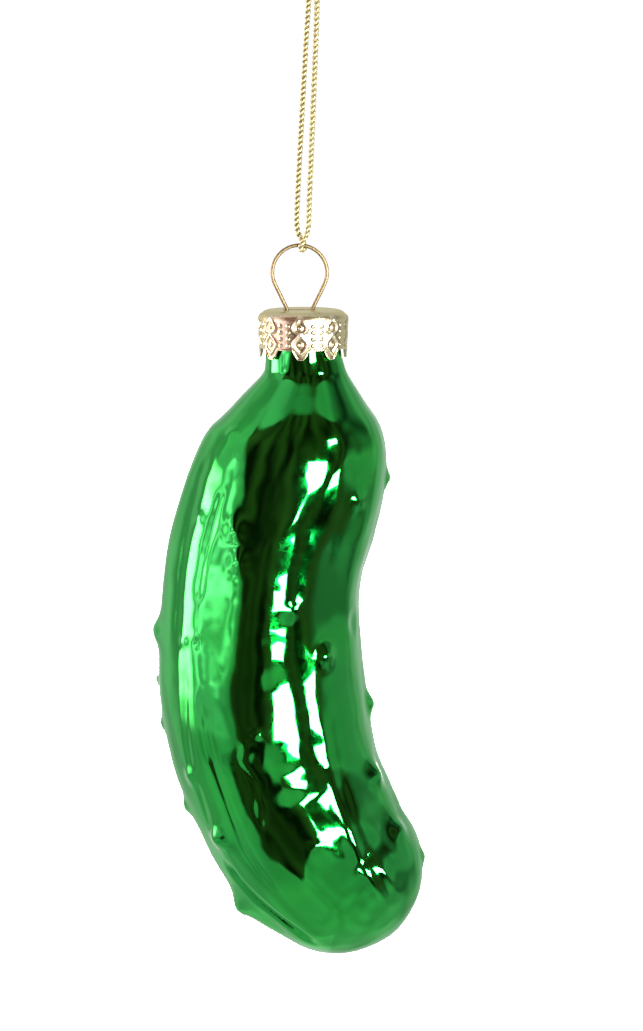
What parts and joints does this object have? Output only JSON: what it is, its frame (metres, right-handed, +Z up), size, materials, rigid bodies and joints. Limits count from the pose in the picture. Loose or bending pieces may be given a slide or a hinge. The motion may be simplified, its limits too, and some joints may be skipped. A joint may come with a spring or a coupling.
{
  "type": "pickle_christmas_ornament",
  "caption": "Blown-glass pickle Christmas ornament in silvered green glass, with a pale-gold crown cap, a sprung wire hanger and a tied gold cord loop",
  "frame": {"origin": "The hanging point: where the cord loop hangs on a hook, just under its knot.", "axes": "+Z is up along the hanging cord, -Y faces the viewer of the picture, +X is to the viewer's right. The wire ring lies in the XZ plane before the small lean of the ornament about Y."},
  "size_m": [0.0414, 0.0296, 0.1497],
  "materials": {
    "green_glass": "silvered inside and lacquered clear green, glossy",
    "pale_gold_cap": "stamped, pale-gold anodised",
    "brass_wire": "bright drawn wire",
    "gold_cord": "metallised gold thread, two-ply twist"
  },
  "bodies": {
    "cord": {"cord": "gold_cord", "cord_knot": "gold_cord"},
    "hanger": {"wire_hanger": "brass_wire"},
    "cap": {"crown_cap": "pale_gold_cap"},
    "glass": {"glass_shell": "green_glass"}
  },
  "joints": [
    {"name": "swing", "type": "hinge", "parent": "cord", "child": "hanger", "pos_m": [0, 0, -0.0395], "axis": [1, 0, 0], "range_deg": [-80, 80]},
    {"name": "cap_play", "type": "slide", "parent": "hanger", "child": "cap", "axis": [-0.0488, 0, 0.9988], "range_m": [0, 0.0005]},
    {"name": "neck_pull", "type": "slide", "parent": "hanger", "child": "glass", "axis": [0.0488, 0, -0.9988], "range_m": [0, 0.018]}
  ]
}
